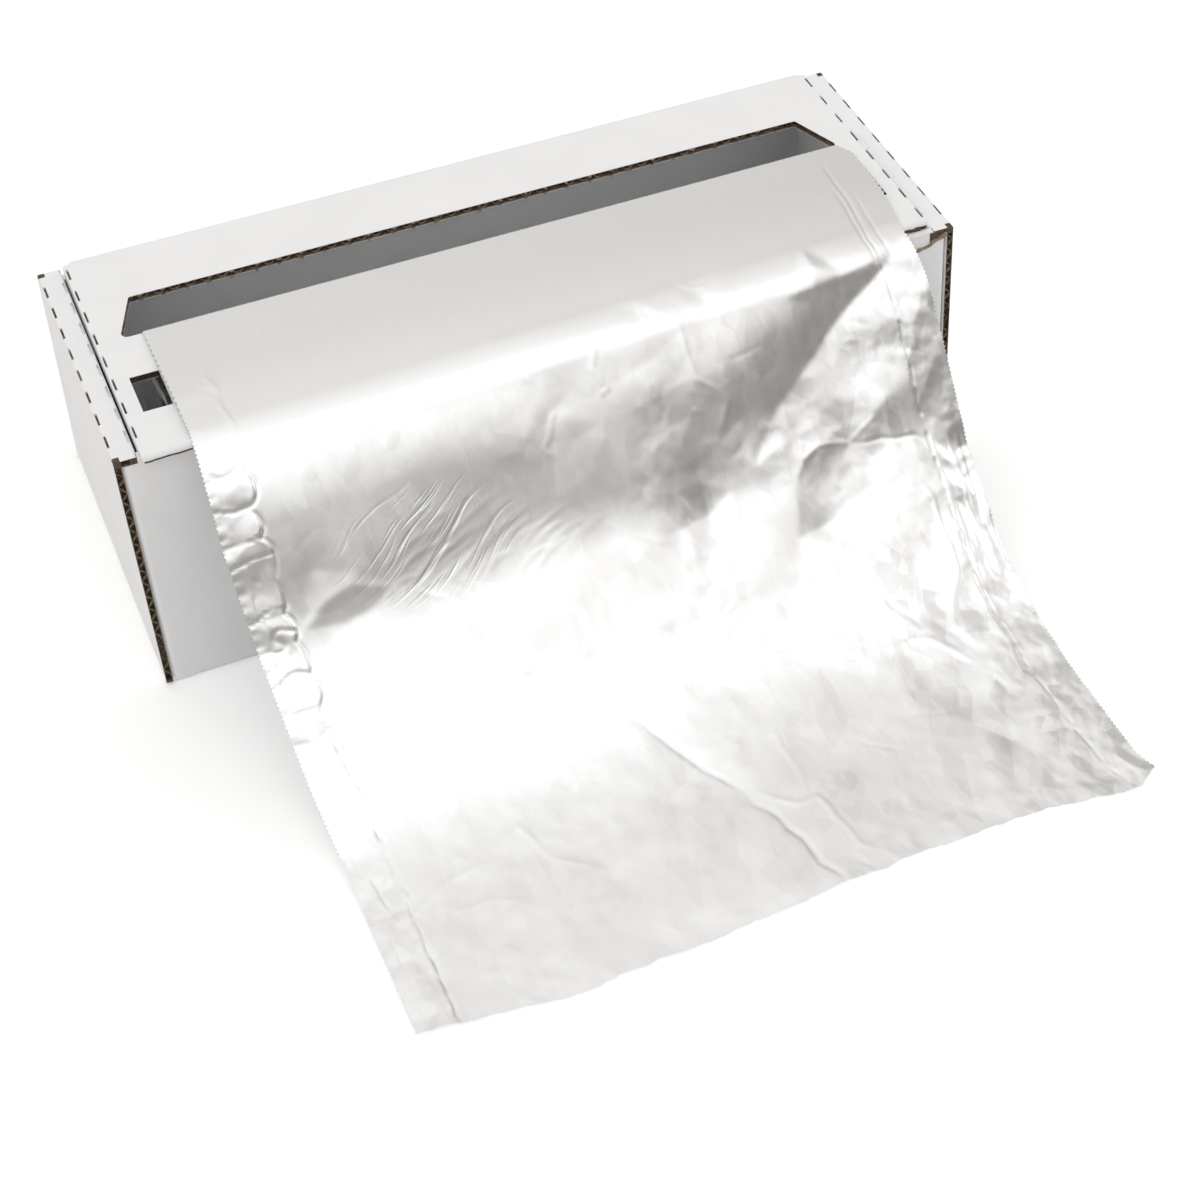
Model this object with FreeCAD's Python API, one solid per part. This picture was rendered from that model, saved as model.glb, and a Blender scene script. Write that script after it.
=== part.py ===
import FreeCAD, Part
import math
import os

from FreeCAD import Vector

# Catering roll of aluminium foil in its dispenser carton, with foil drawn out over the front.
# Millimetres. X runs along the carton, Y from its front to its rear, Z up from what it stands
# on. The origin is the middle of the carton's underside.

# Corrugated board and its folds
board = 3.0
liner = 0.35
flute_recess = 2.2
fold_radius = 2.4
crease_radius = 1.0
layer_gap = 0.2

# Carton body: the front and rear walls lean outward towards the floor. Its length is what the
# core and the free room beside its two ends need.
room_left = 17.1
room_right = 6.1
top_depth = 119.0
wall_flare = 13.7
end_height = 109.8
ear_length = 42.0

# Lid: it lies a little above the ends, and its front edge has bulged out at the left
lid_rise = 3.6
lid_side_gap = 1.0
side_flap_depth = 32.0
side_flap_corner = 14.0
tuck_depth = 28.0
tuck_end_gap = 6.0
nose_radius = 2.2
left_nose_overhang = 5.4
rear_corner_gap = 3.0

# Dispensing slot and the two finger holes, measured from the carton's front top edge
slot_front = 63.0
slot_depth = 23.5
slot_over_foil = 8.0
slot_end_slant = 9.5
slot_tip_radius = 2.5
hole_width = 11.5
hole_length = 20.7
hole_from_end = 17.4
hole_from_front = 18.8
right_hole_setback = 6.5

# Slits that make the creases fold
slit_count = 8
slit_length = 7.0
slit_width = 0.9
slit_depth = 1.5
slit_from_edge = 0.9
end_slit_pitch = 13.5
lid_slit_pitch = 14.3

# Foil, its core and the drawn-out length
foil_width = 302.0
roll_radius = 42.0
seat_gap = 0.3
core_bore = 36.0
core_wall = 2.5
core_projection = 3.0
core_fit = 0.1
turn_rings = 2
turn_ring_width = 0.8
turn_ring_depth = 0.5
sheet = 0.8
drawn_reach = 210.0
left_gather = 8.0
slot_gather = 4.3
slot_spread = 8.0
tear_wave = 4.0

# The drawn-out foil seen from the side: it arches over the lid's front part, bends over the
# lid's edge, hangs steepest halfway down and runs out on the table
slot_bend_radius = 2.5
crest_rise = 1.5
crest_to_front = 30.0
crest_radius = 280.0
front_drop = 0.4
front_room = 4.4
front_bend_radius = 25.0
drape_slopes = (46.0, 53.5, 41.0)
upper_drape_run = 24.0
lower_drape_run = 50.0
upper_bend_radius = 150.0
lower_bend_radius = 110.0
floor_bend_radius = 105.0

# Worked out from the sizes above
strip_width = 3 * board + 2 * layer_gap
core_length = foil_width + 2 * core_projection
carton_length = core_length + room_left + room_right + 2 * strip_width
roll_offset = (room_left - room_right) / 2
half_length = carton_length / 2
half_top = top_depth / 2
lid_top = end_height + lid_rise
lid_under = lid_top - board
strip_under = end_height - board
wall_end = half_length - board - layer_gap
inner_panel_outside = half_length - 2 * board - 2 * layer_gap
strip_inside = half_length - strip_width
lid_half = strip_inside - lid_side_gap
lean = math.atan2(wall_flare, end_height)
board_across = board / math.cos(lean)
core_radius = core_bore / 2 + core_wall
roll_axis = Vector(0, 0, board + seat_gap + roll_radius)
foil_left = roll_offset - foil_width / 2
foil_right = roll_offset + foil_width / 2
slot_y = slot_front - half_top
slot_front_half = (foil_width + slot_over_foil) / 2
slot_rear_half = slot_front_half - slot_end_slant
far = 2 * carton_length


def wall_y(z):
    """Distance of a long wall's outer face from the middle of the carton at a height."""
    return half_top + wall_flare * (1 - z / end_height)


def unit(a, b):
    """Direction from one flat point to another."""
    length = math.hypot(b[0] - a[0], b[1] - a[1])
    return ((b[0] - a[0]) / length, (b[1] - a[1]) / length)


def moved(point, direction, distance):
    """Flat point moved along a direction."""
    return (point[0] + direction[0] * distance, point[1] + direction[1] * distance)


def left_of(direction):
    """Direction turned a quarter to the left."""
    return (-direction[1], direction[0])


def corner(before, point, after, radius, offset):
    """Bend at a point: the ends and middle of its arc, on the side that lies offset to the left."""
    u = unit(before, point)
    v = unit(point, after)
    turn = math.atan2(u[0] * v[1] - u[1] * v[0], u[0] * v[0] + u[1] * v[1])
    side = math.copysign(1, turn)
    reach = radius * math.tan(abs(turn) / 2)
    start = moved(point, u, -reach)
    centre = moved(start, left_of(u), side * radius)
    if radius - side * offset <= 0.01:
        mitre = offset / math.cos(turn / 2)
        return [moved(point, unit(point, centre), mitre)]
    bent = radius - side * offset
    ends = (start, moved(centre, unit(centre, point), radius), moved(point, v, reach))
    return [moved(centre, unit(centre, end), bent) for end in ends]


def bent_side(points, radii, offset):
    """One side of a bent sheet, as a list of single points and arcs of three points."""
    side = [[moved(points[0], left_of(unit(points[0], points[1])), offset)]]
    for i, radius in enumerate(radii):
        side.append(corner(points[i], points[i + 1], points[i + 2], radius, offset))
    side.append([moved(points[-1], left_of(unit(points[-2], points[-1])), offset)])
    return side


def side_edges(side, place):
    """Edges along one side of a bent sheet."""
    edges = []
    for here, following in zip(side, side[1:]):
        if len(here) == 3:
            edges.append(Part.Arc(*[place(p) for p in here]).toShape())
        edges.append(Part.LineSegment(place(here[-1]), place(following[0])).toShape())
    return edges


def sheet_wire(points, radii, thickness, place):
    """Outline of a sheet bent along points, which lies a thickness to the left of them."""
    right = bent_side(points, radii, 0)
    left = bent_side(points, radii, thickness)
    start_cap = Part.LineSegment(place(left[0][0]), place(right[0][0])).toShape()
    end_cap = Part.LineSegment(place(right[-1][0]), place(left[-1][0])).toShape()
    back = side_edges(left, place)[::-1]
    return Part.Wire([start_cap] + side_edges(right, place) + [end_cap] + back)


def across(x):
    """Places flat points (y, z) in the plane at x."""
    return lambda p: Vector(x, p[0], p[1])


def along(y):
    """Places flat points (x, z) in the plane at y."""
    return lambda p: Vector(p[0], y, p[1])


def prism(points, place, direction):
    """Solid with straight sides over an outline of flat points."""
    corners = [place(p) for p in points]
    return Part.Face(Part.makePolygon(corners + corners[:1])).extrude(direction)


def block(low, high):
    """Box between two corners."""
    return Part.makeBox(high[0] - low[0], high[1] - low[1], high[2] - low[2], Vector(*low))


def rounding(start, end, inward_a, inward_b, radius):
    """What is cut away to round the edge between two points."""
    out = radius / 2
    near_a = start + inward_a * radius
    near_b = start + inward_b * radius
    centre = near_a + inward_b * radius
    middle = centre - (inward_a + inward_b).normalize() * radius
    rim = [near_b, near_b - inward_a * out, start - (inward_a + inward_b) * out,
           near_a - inward_b * out, near_a]
    edges = [Part.LineSegment(a, b).toShape() for a, b in zip(rim, rim[1:])]
    edges.append(Part.Arc(near_a, middle, near_b).toShape())
    return Part.Face(Part.Wire(edges)).extrude(end - start)


def mirrored(shape):
    """The same shape at the carton's other end."""
    return shape.mirror(Vector(0, 0, 0), Vector(1, 0, 0))


def trough():
    """Bottom, front wall and rear wall: one board folded up at both long sides."""
    points = [(-wall_y(end_height), end_height), (-wall_y(0), 0), (wall_y(0), 0),
              (wall_y(strip_under - layer_gap), strip_under - layer_gap)]
    wire = sheet_wire(points, [fold_radius] * 2, board, across(-wall_end))
    shape = Part.Face(wire).extrude(Vector(2 * wall_end, 0, 0))
    low = strip_under - layer_gap
    step = block((strip_inside, -far, low), (far, 0, far))
    return shape.cut(step).cut(mirrored(step))


def ear(side):
    """Flap at the right end of the front (-1) or rear (1) wall, folded in under the end strip."""
    low = board + layer_gap
    high = strip_under - layer_gap
    points = [(side * wall_y(low), low), (side * wall_y(high), high),
              (side * (wall_y(high) - ear_length), high), (side * (wall_y(low) - ear_length), low)]
    return prism(points, across(wall_end - board), Vector(board, 0, 0))


def wall_corner(side):
    """Rounding of the fold between a long wall and its right ear."""
    start = Vector(wall_end, side * wall_y(-board), -board)
    end = Vector(wall_end, side * wall_y(end_height), end_height)
    return rounding(start, end, Vector(-1, 0, 0), Vector(0, -side, 0), fold_radius)


def end_outline(inset, low, high):
    """Outline of the carton's end, inset from the long walls' outer faces."""
    return [(-wall_y(low) + inset, low), (wall_y(low) - inset, low),
            (wall_y(high) - inset, high), (-wall_y(high) + inset, high)]


def rolled_end():
    """Right end: a panel up from the bottom, rolled over the ears and down again inside."""
    points = [(half_length - 4 * board, 0), (half_length, 0), (half_length, end_height),
              (strip_inside, end_height), (strip_inside, board + layer_gap)]
    radii = [fold_radius, crease_radius, crease_radius]
    wire = sheet_wire(points, radii, board, along(-wall_y(0)))
    shape = Part.Face(wire).extrude(Vector(0, 2 * wall_y(0), 0))
    shape = shape.common(prism(end_outline(0, 0, end_height), across(0), Vector(far, 0, 0)))
    for side in (-1, 1):
        start = Vector(0, side * wall_y(0), 0)
        shape = shape.cut(rounding(start, start + Vector(far, 0, 0), Vector(0, -side, 0),
                                   Vector(0, 0, 1), fold_radius))
    low = board + layer_gap / 2
    inner_zone = block((0, -far, low), (inner_panel_outside + layer_gap / 2, far, strip_under))
    room = prism(end_outline(board_across + layer_gap, 0, end_height), across(0),
                 Vector(far, 0, 0))
    return shape.cut(inner_zone.cut(room))


def raw_edge_recesses():
    """Hollows between the liners along the right end's raw front and rear edges."""
    low = fold_radius
    points = [(wall_y(low) + 1, low), (wall_y(strip_under) + 1, strip_under),
              (wall_y(strip_under) - flute_recess, strip_under), (wall_y(low) - flute_recess, low)]
    panel = prism(points, across(half_length - board + liner), Vector(board - 2 * liner, 0, 0))
    strip = block((strip_inside + board, half_top - flute_recess, strip_under + liner),
                  (half_length - board, half_top + 1, end_height - liner))
    front_and_rear = [panel, strip]
    for cut in (panel, strip):
        front_and_rear.append(cut.mirror(Vector(0, 0, 0), Vector(0, 1, 0)))
    return front_and_rear


def slits(x, z, pitch):
    """Row of slits along a crease at x, cut down from height z."""
    cuts = []
    for i in range(slit_count):
        y = (i - (slit_count - 1) / 2) * pitch
        cuts.append(block((x - slit_width / 2, y - slit_length / 2, z - slit_depth),
                          (x + slit_width / 2, y + slit_length / 2, z + 1)))
    return cuts


def lid_panel():
    """Lid, folded forward from the rear wall's top edge."""
    low = strip_under - board
    points = [(wall_y(low), low), (wall_y(lid_top), lid_top), (-far, lid_top)]
    wire = sheet_wire(points, [fold_radius], board, across(-lid_half))
    shape = Part.Face(wire).extrude(Vector(2 * lid_half, 0, 0))
    gap = block((lid_half - rear_corner_gap, half_top - rear_corner_gap, 0), (far, far, far))
    return shape.cut(gap).cut(mirrored(gap))


def side_flap():
    """Right side flap of the lid, which hangs inside the rolled end."""
    rear = half_top - rear_corner_gap
    front = -half_top + board_across + layer_gap
    bottom = lid_top - side_flap_depth
    points = [(lid_half, bottom), (lid_half, lid_top), (lid_half - 3 * board, lid_top)]
    wire = sheet_wire(points, [crease_radius], board, along(front))
    shape = Part.Face(wire).extrude(Vector(0, rear - front, 0))
    for y, inward in ((front, Vector(0, 1, 0)), (rear, Vector(0, -1, 0))):
        start = Vector(0, y, bottom)
        shape = shape.cut(rounding(start, start + Vector(far, 0, 0), inward, Vector(0, 0, 1),
                                   side_flap_corner))
    return shape


def tuck_flap():
    """Front flap of the lid, tucked in behind the front wall."""
    half = lid_half - tuck_end_gap
    low = lid_top - tuck_depth
    inset = board_across + layer_gap
    points = [(-wall_y(low) + inset, low), (-wall_y(lid_top) + inset, lid_top - nose_radius),
              (-wall_y(lid_top) + inset + board_across, lid_top - nose_radius),
              (-wall_y(low) + inset + board_across, low)]
    return prism(points, across(-half), Vector(2 * half, 0, 0))


def nose_ends():
    """Ends of the lid's front edge: bulged out at the left, back against its flap at the right."""
    left = -half_top - left_nose_overhang
    right = -half_top + board_across + layer_gap
    return Vector(-lid_half, left, lid_top), Vector(lid_half, right, lid_top)


def nose_cut():
    """What is cut away in front of the lid's front edge, with the edge's rounding."""
    left, right = nose_ends()
    direction = (right - left).normalize()
    start = left - direction * far
    end = right + direction * far
    drop = Vector(0, 0, -board - lid_rise / 2)
    forward = Vector(0, -far, 0)
    up = Vector(0, 0, far)
    corners = [start + drop, end + drop, end + drop + forward, start + drop + forward]
    front = Part.Face(Part.makePolygon(corners + corners[:1])).extrude(up)
    edge = rounding(start, end, Vector(-direction.y, direction.x, 0), Vector(0, 0, -1),
                    nose_radius)
    return front.fuse(edge)


def slot_outline(grow):
    """Outline of the dispensing slot, drawn out by grow, with its two sharp tips rounded."""
    front = slot_y - grow
    rear = slot_y + slot_depth + grow
    corners = [(-slot_rear_half - grow, rear), (-slot_front_half - grow, front),
               (slot_front_half + grow, front), (slot_rear_half + grow, rear)]
    middle = (0, rear)
    points = [middle] + corners + [middle]
    radii = [crease_radius, slot_tip_radius, slot_tip_radius, crease_radius]
    side = bent_side(points, radii, 0)
    edges = side_edges(side, lambda p: Vector(p[0], p[1], 0))
    return Part.Face(Part.Wire(edges))


def slot_cut():
    """Dispensing slot through the lid, with the hollow between its liners."""
    through = slot_outline(0).extrude(Vector(0, 0, 4 * board))
    through.translate(Vector(0, 0, lid_under - board))
    hollow = slot_outline(flute_recess).extrude(Vector(0, 0, board - 2 * liner))
    hollow.translate(Vector(0, 0, lid_under + liner))
    front = block((-far, slot_y - 2 * flute_recess, 0), (far, slot_y, far))
    return through.fuse(hollow.cut(front))


def finger_hole(side, setback):
    """Square hole through the lid near its left (-1) or right (1) end."""
    near = half_length - hole_from_end - hole_width
    x = min(side * near, side * (near + hole_width))
    y = -half_top + hole_from_front + setback
    return block((x, y, lid_under - 1), (x + hole_width, y + hole_length, lid_top + 1))


def carton():
    """The whole carton, which is one folded board."""
    body = trough()
    for side in (-1, 1):
        flap = ear(side)
        body = body.fuse(flap).fuse(mirrored(flap))
    for side in (-1, 1):
        edge = wall_corner(side)
        body = body.cut(edge).cut(mirrored(edge))
    end = rolled_end()
    for from_end in (slit_from_edge, strip_width - slit_from_edge):
        for cut in slits(half_length - from_end, end_height, end_slit_pitch):
            end = end.cut(cut)
    for cut in raw_edge_recesses():
        end = end.cut(cut)
    lid = lid_panel()
    flap = side_flap()
    lid = lid.fuse(flap).fuse(mirrored(flap)).fuse(tuck_flap())
    lid = lid.cut(nose_cut()).cut(slot_cut())
    lid = lid.cut(finger_hole(-1, 0)).cut(finger_hole(1, right_hole_setback))
    for cut in slits(lid_half - slit_from_edge, lid_top, lid_slit_pitch):
        lid = lid.cut(cut).cut(mirrored(cut))
    shape = body.fuse(end).fuse(mirrored(end)).fuse(lid)
    return shape.removeSplitter()


def ring(x, outer, inner, width):
    """Ring about the roll's axis, from x along X."""
    base = Vector(x, roll_axis.y, roll_axis.z)
    axis = Vector(1, 0, 0)
    solid = Part.makeCylinder(outer, width, base, axis)
    return solid.cut(Part.makeCylinder(inner, width, base, axis))


def core_tube():
    """Paperboard tube that the foil is wound on."""
    return ring(foil_left - core_projection, core_radius, core_bore / 2, core_length)


def wound_turns():
    """The turns left on the core, with a few of them standing back at both ends."""
    inner = core_radius + core_fit
    shape = ring(foil_left, roll_radius, inner, foil_width)
    spacing = (roll_radius - inner) / (turn_rings + 1)
    for i in range(turn_rings):
        radius = inner + spacing * (i + 1)
        for x in (foil_left, foil_right - turn_ring_depth):
            shape = shape.cut(ring(x, radius + turn_ring_width, radius, turn_ring_depth))
    return shape


def drawn_section(x):
    """Section of the drawn-out foil at x: off the roll, through the slot, over the lid's front
    edge and down to the floor."""
    top = lid_top + seat_gap + sheet
    slot_bend = (slot_y + seat_gap + sheet, top)
    to_bend = (slot_bend[0] - roll_axis.y, slot_bend[1] - roll_axis.z)
    leave = math.atan2(to_bend[1], to_bend[0]) - math.acos(roll_radius / math.hypot(*to_bend))
    off_roll = (roll_axis.y + roll_radius * math.cos(leave),
                roll_axis.z + roll_radius * math.sin(leave))
    left, right = nose_ends()
    nose = left.y + (right.y - left.y) * (x - left.x) / (right.x - left.x)
    front = (nose - front_room, top - front_drop)
    crest = (front[0] + crest_to_front, top + crest_rise)
    points = [off_roll, slot_bend, crest, front]
    ways = [(-math.cos(math.radians(a)), -math.sin(math.radians(a))) for a in drape_slopes]
    for way, run in zip(ways, (upper_drape_run, lower_drape_run)):
        points.append(moved(points[-1], way, run))
    to_floor = (points[-1][1] - sheet) / -ways[-1][1]
    points.append(moved(points[-1], ways[-1], to_floor))
    points.append((-half_top - drawn_reach - 2 * tear_wave, sheet))
    radii = [slot_bend_radius, crest_radius, front_bend_radius, upper_bend_radius, lower_bend_radius,
             floor_bend_radius]
    return sheet_wire(points, radii, sheet, across(x))


def sheet_plan():
    """The drawn-out foil seen from above: narrowed at the slot's right end, gathered in at the
    left lower down, and torn off in a wave."""
    tear = -half_top - drawn_reach
    bend = -half_top - drawn_reach / 2
    left = foil_left + left_gather
    step = (foil_right - left) / 4
    wave = [Vector(left + i * step, tear + tear_wave * lift, 0)
            for i, lift in enumerate((1.0, -0.6, -0.2, 1.0, -0.4))]
    curve = Part.BSplineCurve()
    curve.interpolate(wave)
    in_slot = foil_right - slot_gather
    rim = [wave[-1], Vector(foil_right, slot_y - slot_spread, 0), Vector(in_slot, slot_y, 0),
           Vector(in_slot, half_top, 0), Vector(foil_left, half_top, 0),
           Vector(foil_left, -half_top, 0), Vector(left, bend, 0), wave[0]]
    edges = [curve.toShape()] + [Part.LineSegment(a, b).toShape() for a, b in zip(rim, rim[1:])]
    return Part.Face(Part.Wire(edges)).extrude(Vector(0, 0, far))


def foil_roll():
    """The foil: its wound turns and the length drawn out over the lid to the floor."""
    drawn = Part.makeLoft([drawn_section(foil_left), drawn_section(foil_right)], True, True)
    drawn = drawn.common(sheet_plan())
    return wound_turns().fuse(drawn)


def main():
    os.makedirs("parts", exist_ok=True)
    for name, make in (("carton", carton), ("core_tube", core_tube), ("foil_roll", foil_roll)):
        shape = make()
        if len(shape.Solids) != 1 or not shape.isValid():
            print(name, "is not one sound solid:", len(shape.Solids), shape.isValid())
        shape.exportStep("parts/" + name + ".step")
        box = shape.BoundBox
        print(name, [round(v, 1) for v in (box.XMin, box.YMin, box.ZMin, box.XMax, box.YMax,
                                           box.ZMax)], round(shape.Volume / 1000, 1), "cm3")


main()
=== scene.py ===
import math

import bpy
import numpy as np
from mathutils import Matrix, Vector
from mathutils.geometry import delaunay_2d_cdt


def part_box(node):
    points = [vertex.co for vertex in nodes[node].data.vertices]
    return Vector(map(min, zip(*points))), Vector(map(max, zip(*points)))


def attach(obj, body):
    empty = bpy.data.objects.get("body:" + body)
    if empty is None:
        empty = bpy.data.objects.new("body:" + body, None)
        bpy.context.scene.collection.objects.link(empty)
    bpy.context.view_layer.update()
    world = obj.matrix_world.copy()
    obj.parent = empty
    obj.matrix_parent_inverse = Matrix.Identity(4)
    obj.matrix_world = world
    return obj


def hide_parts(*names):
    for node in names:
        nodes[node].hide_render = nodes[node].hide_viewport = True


# Aluminium foil drawn out of its white corrugated dispenser carton.
# Sizes here are millimetres in the frame of the solids, and meshes are scaled to metres when
# they are made: X along the carton, Y from its front to its rear, Z up.
MM = 0.001

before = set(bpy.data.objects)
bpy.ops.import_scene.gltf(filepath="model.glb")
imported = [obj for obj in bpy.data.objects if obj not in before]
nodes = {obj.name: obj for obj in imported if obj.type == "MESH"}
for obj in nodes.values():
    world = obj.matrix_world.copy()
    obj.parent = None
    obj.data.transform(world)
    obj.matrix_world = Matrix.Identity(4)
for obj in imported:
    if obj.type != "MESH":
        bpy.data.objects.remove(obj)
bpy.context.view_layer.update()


def box_mm(node):
    """Lowest and highest corner of a solid, in millimetres."""
    low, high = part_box(node)
    return np.array(low) / MM, np.array(high) / MM


carton_high = box_mm("carton")[1]
foil_low, foil_high = box_mm("foil_roll")
core_high = box_mm("core_tube")[1]

# Board
board = 3.0
liner = 0.35
flute_recess = 2.2
flute_pitch = 6.5
layer_gap = 0.2

# Carton
half_length = carton_high[0]
lid_top = carton_high[2]
end_height = 109.8
half_top = 59.5
wall_flare = carton_high[1] - half_top
strip_width = 3 * board + 2 * layer_gap
strip_inside = half_length - strip_width
lid_half = strip_inside - 1.0
lid_under = lid_top - board
left_nose = -half_top - 5.4
right_nose = -half_top + board + layer_gap

# Dispensing slot
slot_y = 3.5
slot_depth = 23.5
slot_rear_half = 145.5
slot_front_half = 155.0

# Foil
roll_radius = foil_high[1]
roll_z = board + 0.3 + roll_radius
foil_left = foil_low[0]
foil_right = foil_high[0]
foil_lift = 0.7
lowest_foil = 0.25
edge_tooth = 0.35
fan_creases = 34
loose_creases = 150
slot_bend_radius = 2.5
crest_rise = 1.5
crest_to_front = 30.0
front_drop = 0.4
front_room = 4.2
drape_slopes = [math.radians(a) for a in (46, 53.5, 41)]
drape_runs = [24.0, 50.0]
drape_radii = [280.0, 25.0, 150.0, 110.0, 105.0]

rng = np.random.default_rng(7)


def make_object(name, points, faces, material, smooth=True):
    """A mesh piece from points in millimetres, which rides with the carton."""
    mesh = bpy.data.meshes.new(name)
    mesh.from_pydata((np.asarray(points) * MM).tolist(), [], faces)
    mesh.polygons.foreach_set("use_smooth", [smooth] * len(mesh.polygons))
    mesh.materials.append(material)
    mesh.update()
    piece = bpy.data.objects.new(name, mesh)
    bpy.context.scene.collection.objects.link(piece)
    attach(piece, "root")
    return piece


def thicken(piece, thickness, offset=-1.0):
    """Gives a thin piece its thickness in millimetres."""
    layer = piece.modifiers.new("layer", "SOLIDIFY")
    layer.thickness = thickness * MM
    layer.offset = offset


def lay_flat(piece, flat):
    """Gives each point of a piece its place on the flat sheet, as a map that its finish uses."""
    layer = piece.data.uv_layers.new(name="flat")
    corners = np.zeros(len(piece.data.loops), np.int64)
    piece.data.loops.foreach_get("vertex_index", corners)
    layer.data.foreach_set("uv", (flat.reshape(-1, 2)[corners] * MM).ravel())


def grid_faces(rows, columns, closed=False):
    """Quads over a grid of points stored row by row. A closed one's last column meets its first."""
    first = np.arange(columns if closed else columns - 1)
    start = np.arange(rows - 1)[:, None] * columns
    a = (start + first).ravel()
    b = (start + (first + 1) % columns).ravel()
    return np.stack([a, b, b + columns, a + columns], 1).tolist()


def smoothstep(low, high, value):
    """0 below low, 1 above high, smooth between."""
    t = np.clip((value - low) / (high - low), 0, 1)
    return t * t * (3 - 2 * t)


def lattice_values(i, j, seed):
    """A repeatable random number from -1 to 1 for each lattice point."""
    h = (i * 374761393 + j * 668265263 + seed * 2246822519) & 0xFFFFFFFF
    h = ((h ^ (h >> 13)) * 1274126177) & 0xFFFFFFFF
    h = (h ^ (h >> 16)) & 0xFFFF
    return h / 32767.5 - 1


def soft_noise(x, y, scale, seed):
    """Smooth noise from -1 to 1 with bumps about scale apart."""
    u, v = x / scale, y / scale
    i, j = np.floor(u).astype(np.int64), np.floor(v).astype(np.int64)
    fu, fv = u - i, v - j
    fu, fv = fu * fu * (3 - 2 * fu), fv * fv * (3 - 2 * fv)
    near = lattice_values(i, j, seed) * (1 - fu) + lattice_values(i + 1, j, seed) * fu
    far = lattice_values(i, j + 1, seed) * (1 - fu) + lattice_values(i + 1, j + 1, seed) * fu
    return near * (1 - fv) + far * fv


def line_noise(at, scale, seed):
    """Smooth noise along a line."""
    return soft_noise(at, 0 * at, scale, seed)


def ridge(offset, width):
    """1 where the offset is 0, which falls evenly to 0 at the width on both sides."""
    return np.clip(1 - np.abs(offset) / width, 0, 1)


def facets(x, y, scale, turn, seed):
    """Flat triangles of random height that meet in sharp creases, as in crumpled foil."""
    x, y = (x + 0.35 * scale * soft_noise(x, y, 1.3 * scale, seed + 1),
            y + 0.35 * scale * soft_noise(x, y, 1.3 * scale, seed + 2))
    across = (x * math.cos(turn) - y * math.sin(turn)) / scale
    along = (x * math.sin(turn) + y * math.cos(turn)) / scale
    u, v = across - along * 0.5774, along * 1.1547
    i, j = np.floor(u).astype(np.int64), np.floor(v).astype(np.int64)
    fu, fv = u - i, v - j
    upper = (fu + fv) > 1
    a = lattice_values(i + upper, j + upper, seed)
    b = lattice_values(i + 1, j, seed)
    c = lattice_values(i, j + 1, seed)
    wb = np.where(upper, 1 - fv, fu)
    wc = np.where(upper, 1 - fu, fv)
    return a * (1 - wb - wc) + b * wb + c * wc


def bent_path(corners, radii):
    """Straight runs joined by arcs, and the length along the path at the end of each."""
    pieces = []
    start = np.array(corners[0], float)
    for k, radius in enumerate(radii):
        before, here, after = (np.array(corners[k + n], float) for n in range(3))
        u = (here - before) / np.linalg.norm(here - before)
        v = (after - here) / np.linalg.norm(after - here)
        turn = math.atan2(u[0] * v[1] - u[1] * v[0], u @ v)
        reach = radius * math.tan(abs(turn) / 2)
        pieces.append((start, here - u * reach, None, 0.0))
        side = math.copysign(1, turn)
        centre = here - u * reach + np.array([-u[1], u[0]]) * radius * side
        pieces.append((here - u * reach, here + v * reach, centre, turn))
        start = here + v * reach
    pieces.append((start, np.array(corners[-1], float), None, 0.0))
    lengths = []
    for a, b, centre, turn in pieces:
        straight = centre is None
        lengths.append(np.linalg.norm(b - a if straight else (a - centre) * turn))
    return pieces, np.cumsum(lengths)


def along_path(pieces, ends, at):
    """Points on a bent path at lengths along it, and the path's direction there."""
    which = np.minimum(np.searchsorted(ends, at), len(pieces) - 1)
    points = np.zeros((len(at), 2))
    ways = np.zeros((len(at), 2))
    for k, (a, b, centre, turn) in enumerate(pieces):
        mine = which == k
        first = ends[k - 1] if k else 0.0
        share = (at[mine] - first) / max(ends[k] - first, 1e-9)
        if centre is None:
            points[mine] = a + share[:, None] * (b - a)
            ways[mine] = (b - a) / np.linalg.norm(b - a)
        else:
            arm = a - centre
            c, s = np.cos(turn * share), np.sin(turn * share)
            out = np.stack([c * arm[0] - s * arm[1], s * arm[0] + c * arm[1]], 1)
            points[mine] = centre + out
            side = math.copysign(1, turn)
            ways[mine] = np.stack([-out[:, 1], out[:, 0]], 1) * side / np.linalg.norm(arm)
    return points, ways


# Drawn-out foil: its outline seen from above. Each list holds (y, x) or (x, y) pairs.
left_edge = [(60, -145.5), (3, -146), (-60, -145.3), (-95, -146.5), (-147, -142.5), (-190, -139),
             (-280, -138.3)]
right_edge = [(60, 152.2), (6, 152.2), (-4, 157), (-32, 156), (-57, 152.5), (-72, 155.5),
              (-190, 158.7), (-255, 158.7), (-265, 162)]
tear_edge = [(-140, -265), (-108, -268), (-80, -272), (-47, -269), (-27, -270.5), (30, -265.5),
             (115, -265), (137, -269), (152, -270.5), (163, -264)]


def interpolated(pairs, at):
    """Straight-line interpolation in a list of pairs, in any order."""
    pairs = sorted(pairs)
    return np.interp(at, [p[0] for p in pairs], [p[1] for p in pairs])


def nose_y(x):
    """Front edge of the lid at x: bulged forward at the left."""
    return left_nose + (right_nose - left_nose) * (x + lid_half) / (2 * lid_half)


def spaced(ends, counts):
    """Numbers that run through the given ends, with even spacing between each two."""
    runs = [np.linspace(a, b, n, endpoint=False) for a, b, n in zip(ends, ends[1:], counts)]
    return np.concatenate(runs + [[ends[-1]]])


# The grid is finest along both edges and where the drape hangs steepest
across_sheet = spaced([foil_left, foil_left + 20, foil_right - 26, foil_right], [30, 226, 40])
fine_rows = (-16.0, 112.0)
slot_rows = 5.0
row_counts = (6, 22, 30, 140, 134)
sheet_columns = len(across_sheet)
sheet_rows = sum(row_counts) + 1


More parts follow.
